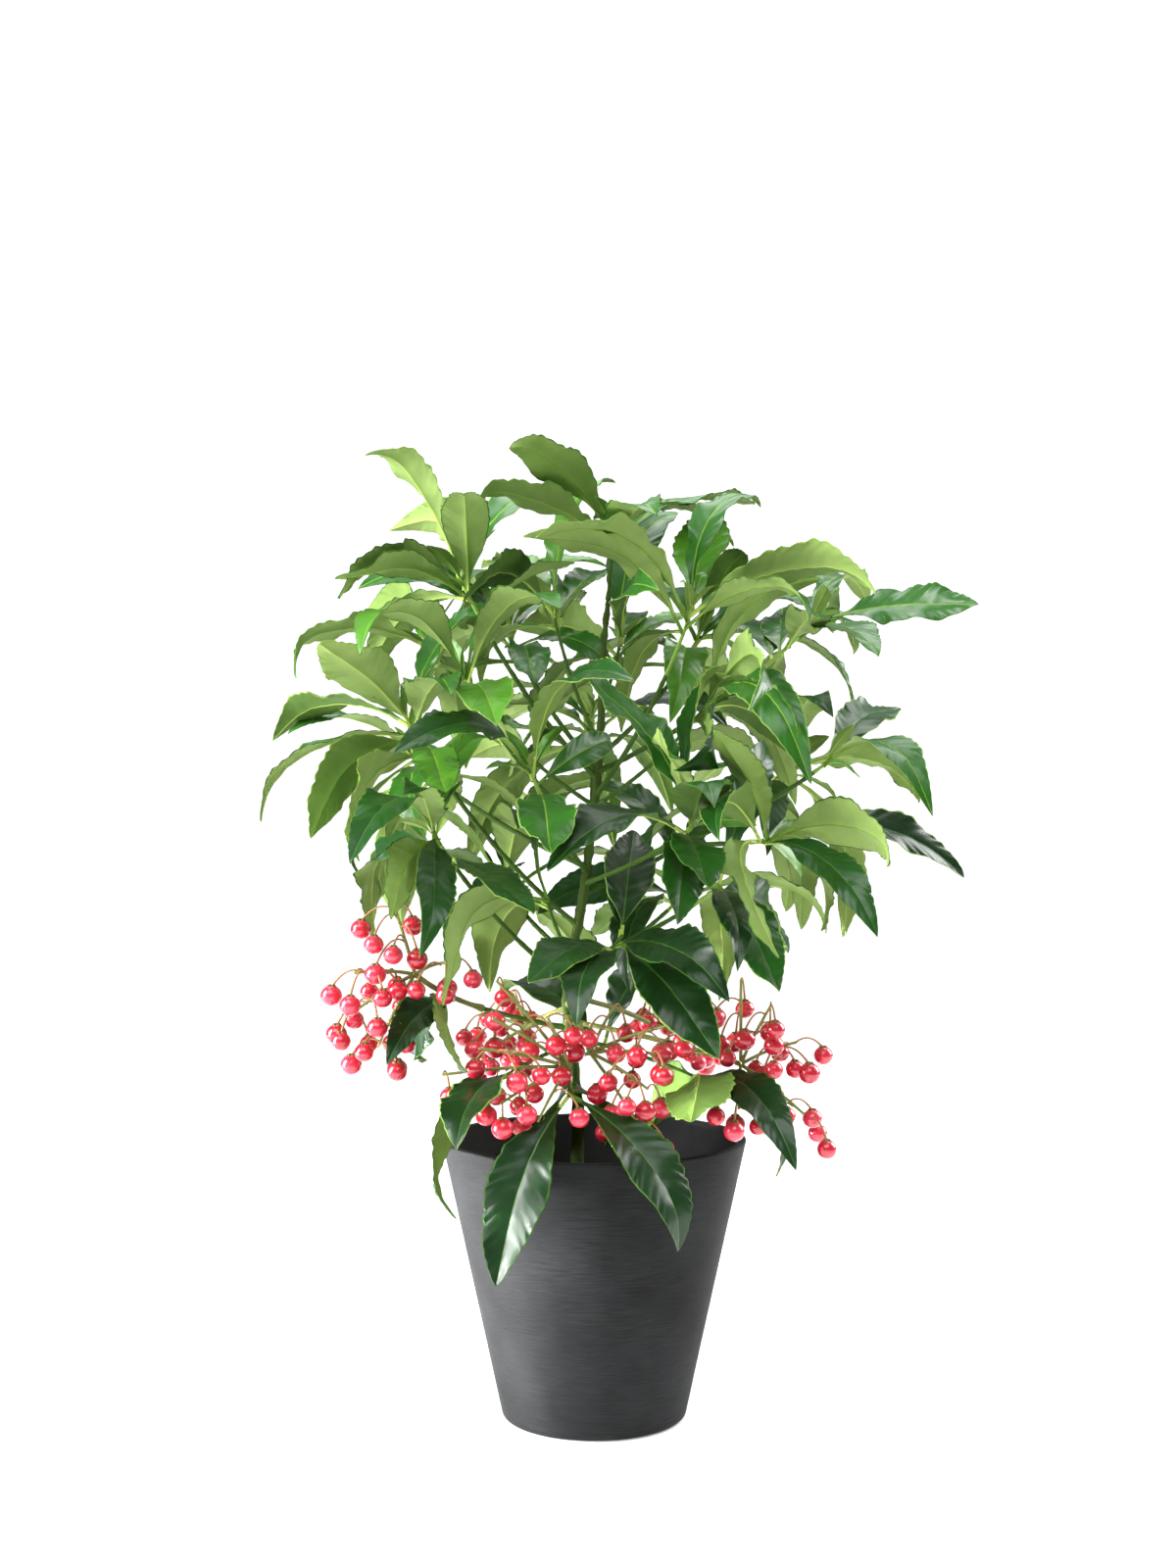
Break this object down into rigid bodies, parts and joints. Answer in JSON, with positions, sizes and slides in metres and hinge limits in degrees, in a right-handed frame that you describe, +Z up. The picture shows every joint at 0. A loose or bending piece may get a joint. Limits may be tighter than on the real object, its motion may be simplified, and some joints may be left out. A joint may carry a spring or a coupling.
{
  "type": "potted ardisia shrub",
  "caption": "Small evergreen shrub with whorls of long glossy leaves and hanging sprays of red berries, in a plain tapered round dark pot.",
  "frame": {"origin": "middle of the pot's flat underside", "axes": "+Z up along the pot's axis, -Y towards the front view, +X to the right as seen from the front"},
  "size_m": [0.3433, 0.2884, 0.4762],
  "materials": {
    "pot": "dark slate grey, faint fine streaks round it",
    "soil": "dark brown potting soil, crumbly",
    "trunk": "smooth green-brown bark with leaf scars",
    "bough": "smooth young green bark",
    "leaf": "leathery, glossy dark green above, paler and duller below",
    "fruit": "glossy coral red berries on thin stalks"
  },
  "bodies": {
    "root": {"pot": "pot", "soil": "soil", "trunk": "trunk", "bough_back_left": "bough", "bough_back_low_left": "bough", "bough_back_low_right": "bough", "bough_back_middle": "bough", "bough_back_right": "bough", "bough_back_upper_left": "bough", "bough_back_upper_right": "bough", "bough_left": "bough", "bough_left_front": "bough", "bough_left_low": "bough", "bough_low_left": "bough", "bough_middle_left": "bough", "bough_middle_right": "bough", "bough_right": "bough", "bough_right_low": "bough", "bough_right_lower": "bough", "bough_upper_left": "bough", "bough_upper_middle": "bough", "bough_upper_right": "bough", "leaves_back_left": "leaf", "leaves_back_low_left": "leaf", "leaves_back_low_right": "leaf", "leaves_back_middle": "leaf", "leaves_back_right": "leaf", "leaves_back_upper_left": "leaf", "leaves_back_upper_right": "leaf", "leaves_front_low": "leaf", "leaves_inner_left": "leaf", "leaves_inner_right": "leaf", "leaves_left": "leaf", "leaves_left_front": "leaf", "leaves_left_low": "leaf", "leaves_left_rear": "leaf", "leaves_low_left": "leaf", "leaves_middle_left": "leaf", "leaves_middle_right": "leaf", "leaves_right": "leaf", "leaves_right_low": "leaf", "leaves_right_lower": "leaf", "leaves_rim_back": "leaf", "leaves_rim_front": "leaf", "leaves_rim_left": "leaf", "leaves_rim_right": "leaf", "leaves_top": "leaf", "leaves_top_left": "leaf", "leaves_top_rear": "leaf", "leaves_upper_left": "leaf", "leaves_upper_middle": "leaf", "leaves_upper_right": "leaf", "fruit_left": "fruit", "fruit_middle_left": "fruit", "fruit_middle_right": "fruit", "fruit_rear_left": "fruit", "fruit_rear_right": "fruit", "fruit_right": "fruit"}
  },
  "joints": []
}
